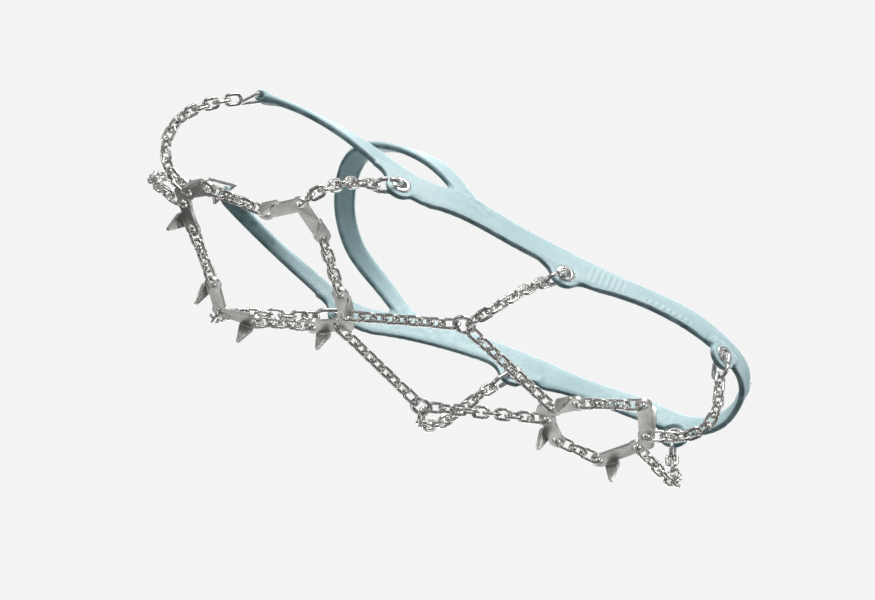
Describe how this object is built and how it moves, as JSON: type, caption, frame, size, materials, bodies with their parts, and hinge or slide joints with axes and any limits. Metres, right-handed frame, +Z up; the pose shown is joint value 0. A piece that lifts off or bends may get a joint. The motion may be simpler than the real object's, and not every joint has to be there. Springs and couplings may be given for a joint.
{
  "type": "shoe ice cleats",
  "caption": "Pull-on ice cleats for a shoe: an elastomer harness with side chains down to a net of chain and spiked steel plates under the sole.",
  "frame": {"origin": "on the ground under the middle of the cleats, at the tips of the lowest spikes", "axes": "+X towards the toe, +Y towards the inner (medial) side of a right foot, +Z up"},
  "size_m": [0.3039, 0.1175, 0.1029],
  "materials": {
    "elastomer": "translucent pale ice-blue moulded elastomer, satin",
    "eyelet_steel": "plated eyelet, semi-bright",
    "wire_steel": "drawn wire, semi-bright",
    "chain_steel": "bright zinc-plated wire",
    "plate_steel": "satin pressed sheet steel"
  },
  "bodies": {
    "harness": {"harness": "elastomer", "grommet_front_medial": "eyelet_steel", "grommet_front_lateral": "eyelet_steel", "grommet_mid_medial": "eyelet_steel", "grommet_mid_lateral": "eyelet_steel", "grommet_rear_medial": "eyelet_steel", "grommet_rear_lateral": "eyelet_steel"},
    "toe_chain_medial": {"toe_loop_medial": "wire_steel", "chain_toe_medial": "chain_steel"},
    "front_side_chain_medial": {"hook_front_medial": "wire_steel", "chain_front_medial": "chain_steel"},
    "mid_side_chain_medial": {"hook_mid_medial": "wire_steel", "chain_mid_medial": "chain_steel"},
    "rear_side_chain_medial": {"hook_rear_medial": "wire_steel", "chain_rear_medial": "chain_steel"},
    "toe_chain_lateral": {"toe_loop_lateral": "wire_steel", "chain_toe_lateral": "chain_steel"},
    "front_side_chain_lateral": {"hook_front_lateral": "wire_steel", "chain_front_lateral": "chain_steel"},
    "mid_side_chain_lateral": {"hook_mid_lateral": "wire_steel", "chain_mid_lateral": "chain_steel"},
    "rear_side_chain_lateral": {"hook_rear_lateral": "wire_steel", "chain_rear_lateral": "chain_steel"},
    "toe_to_ball_medial_run": {"chain_toe_to_ball_medial": "chain_steel"},
    "toe_to_ball_lateral_run": {"chain_toe_to_ball_lateral": "chain_steel"},
    "ball_to_forefoot_medial_run": {"chain_ball_to_forefoot_medial": "chain_steel"},
    "ball_to_forefoot_lateral_run": {"chain_ball_to_forefoot_lateral": "chain_steel"},
    "waist_front_medial_run": {"chain_waist_front_medial": "chain_steel"},
    "waist_front_lateral_run": {"chain_waist_front_lateral": "chain_steel"},
    "waist_rear_medial_run": {"chain_waist_rear_medial": "chain_steel"},
    "waist_rear_lateral_run": {"chain_waist_rear_lateral": "chain_steel"},
    "heel_medial_run": {"chain_heel_medial": "chain_steel"},
    "heel_lateral_run": {"chain_heel_lateral": "chain_steel"},
    "plate_toe": {"plate_toe": "plate_steel"},
    "plate_ball_medial": {"plate_ball_medial": "plate_steel"},
    "plate_ball_lateral": {"plate_ball_lateral": "plate_steel"},
    "plate_forefoot": {"plate_forefoot": "plate_steel"},
    "plate_heel_front": {"plate_heel_front": "plate_steel"},
    "plate_heel_rear": {"plate_heel_rear": "plate_steel"},
    "junction_ring_medial": {"junction_ring_medial": "wire_steel"},
    "junction_ring_lateral": {"junction_ring_lateral": "wire_steel"}
  },
  "joints": [
    {"name": "toe_chain_swing_medial", "type": "hinge", "parent": "harness", "child": "toe_chain_medial", "pos_m": [0.11801, 0.03481, 0.0816], "axis": [0.1539, -0.3146, -0.9367], "range_deg": [-8, 8]},
    {"name": "front_chain_swing_medial", "type": "hinge", "parent": "harness", "child": "front_side_chain_medial", "pos_m": [0.04, 0.0474, 0.054], "axis": [0.6964, -0.0264, -0.7171], "range_deg": [-8, 8]},
    {"name": "mid_chain_swing_medial", "type": "hinge", "parent": "harness", "child": "mid_side_chain_medial", "pos_m": [-0.047, 0.0372, 0.059], "axis": [0.5487, -0.1553, -0.8215], "range_deg": [-8, 8]},
    {"name": "rear_chain_swing_medial", "type": "hinge", "parent": "harness", "child": "rear_side_chain_medial", "pos_m": [-0.1305, 0.0312, 0.063], "axis": [0.3112, -0.373, -0.8741], "range_deg": [-8, 8]},
    {"name": "toe_chain_swing_lateral", "type": "hinge", "parent": "harness", "child": "toe_chain_lateral", "pos_m": [0.11801, -0.03481, 0.0816], "axis": [0.1327, 0.5742, -0.8079], "range_deg": [-8, 8]},
    {"name": "front_chain_swing_lateral", "type": "hinge", "parent": "harness", "child": "front_side_chain_lateral", "pos_m": [0.04, -0.0474, 0.054], "axis": [0.823, 0.0687, -0.5638], "range_deg": [-8, 8]},
    {"name": "mid_chain_swing_lateral", "type": "hinge", "parent": "harness", "child": "mid_side_chain_lateral", "pos_m": [-0.047, -0.0372, 0.059], "axis": [0.5714, -0.0214, -0.8204], "range_deg": [-8, 8]},
    {"name": "rear_chain_swing_lateral", "type": "hinge", "parent": "harness", "child": "rear_side_chain_lateral", "pos_m": [-0.1305, -0.0312, 0.063], "axis": [0.3, 0.5284, -0.7942], "range_deg": [-8, 8]},
    {"name": "toe_to_ball_medial_roll", "type": "hinge", "parent": "harness", "child": "toe_to_ball_medial_run", "pos_m": [0.11959, 0.025, 0.02029], "axis": [-0.9493, 0.261, -0.1753], "range_deg": [-10, 10]},
    {"name": "toe_to_ball_lateral_roll", "type": "hinge", "parent": "harness", "child": "toe_to_ball_lateral_run", "pos_m": [0.11959, -0.003, 0.02029], "axis": [-0.6225, -0.7711, -0.1336], "range_deg": [-10, 10]},
    {"name": "ball_to_forefoot_medial_roll", "type": "hinge", "parent": "harness", "child": "ball_to_forefoot_medial_run", "pos_m": [0.0622, 0.03505, 0.01485], "axis": [-0.5924, -0.796, -0.1241], "range_deg": [-10, 10]},
    {"name": "ball_to_forefoot_lateral_roll", "type": "hinge", "parent": "harness", "child": "ball_to_forefoot_lateral_run", "pos_m": [0.07508, -0.03784, 0.01623], "axis": [-0.7795, 0.6055, -0.1602], "range_deg": [-10, 10]},
    {"name": "waist_front_medial_roll", "type": "hinge", "parent": "harness", "child": "waist_front_medial_run", "pos_m": [-0.01227, 0.0248, 0.01186], "axis": [0.8805, -0.4738, -0.0171], "range_deg": [-10, 10]},
    {"name": "waist_front_lateral_roll", "type": "hinge", "parent": "harness", "child": "waist_front_lateral_run", "pos_m": [-0.01124, -0.03487, 0.01186], "axis": [0.8938, 0.4482, -0.0171], "range_deg": [-10, 10]},
    {"name": "waist_rear_medial_roll", "type": "hinge", "parent": "harness", "child": "waist_rear_medial_run", "pos_m": [-0.01683, 0.02502, 0.01186], "axis": [-0.9218, -0.3872, -0.0169], "range_deg": [-10, 10]},
    {"name": "waist_rear_lateral_roll", "type": "hinge", "parent": "harness", "child": "waist_rear_lateral_run", "pos_m": [-0.01571, -0.03477, 0.01186], "axis": [-0.8737, 0.4863, -0.0157], "range_deg": [-10, 10]},
    {"name": "heel_medial_roll", "type": "hinge", "parent": "harness", "child": "heel_medial_run", "pos_m": [-0.0775, 0.013, 0.0109], "axis": [-0.8503, 0.525, 0.0372], "range_deg": [-10, 10]},
    {"name": "heel_lateral_roll", "type": "hinge", "parent": "harness", "child": "heel_lateral_run", "pos_m": [-0.0775, -0.015, 0.0109], "axis": [-0.9978, -0.0387, 0.0539], "range_deg": [-10, 10]},
    {"name": "plate_toe_tilt", "type": "hinge", "parent": "harness", "child": "plate_toe", "pos_m": [0.12339, 0.011, 0.02153], "axis": [0, 1, 0], "range_deg": [-3, 3]},
    {"name": "plate_ball_medial_tilt", "type": "hinge", "parent": "harness", "child": "plate_ball_medial", "pos_m": [0.07644, 0.03805, 0.0152], "axis": [-0.9976, 0.0698, 0], "range_deg": [-3, 3]},
    {"name": "plate_ball_lateral_tilt", "type": "hinge", "parent": "harness", "child": "plate_ball_lateral", "pos_m": [0.08948, -0.03576, 0.01679], "axis": [0.9135, 0.4067, 0], "range_deg": [-3, 3]},
    {"name": "plate_forefoot_tilt", "type": "hinge", "parent": "harness", "child": "plate_forefoot", "pos_m": [0.04233, -0.00484, 0.0109], "axis": [0.2079, -0.9781, 0], "range_deg": [-3, 3]},
    {"name": "plate_heel_front_tilt", "type": "hinge", "parent": "harness", "child": "plate_heel_front", "pos_m": [-0.0735, -0.001, 0.0109], "axis": [0, 1, 0], "range_deg": [-3, 3]},
    {"name": "plate_heel_rear_tilt", "type": "hinge", "parent": "harness", "child": "plate_heel_rear", "pos_m": [-0.10655, 0.0065, 0.01303], "axis": [0.1132, -0.9936, 0], "range_deg": [-3, 3]},
    {"name": "junction_ring_spin_medial", "type": "hinge", "parent": "harness", "child": "junction_ring_medial", "pos_m": [-0.0145, 0.026, 0.0119], "axis": [0, 0, 1], "range_deg": [-30, 30]},
    {"name": "junction_ring_spin_lateral", "type": "hinge", "parent": "harness", "child": "junction_ring_lateral", "pos_m": [-0.0135, -0.036, 0.0119], "axis": [0, 0, 1], "range_deg": [-30, 30]}
  ]
}
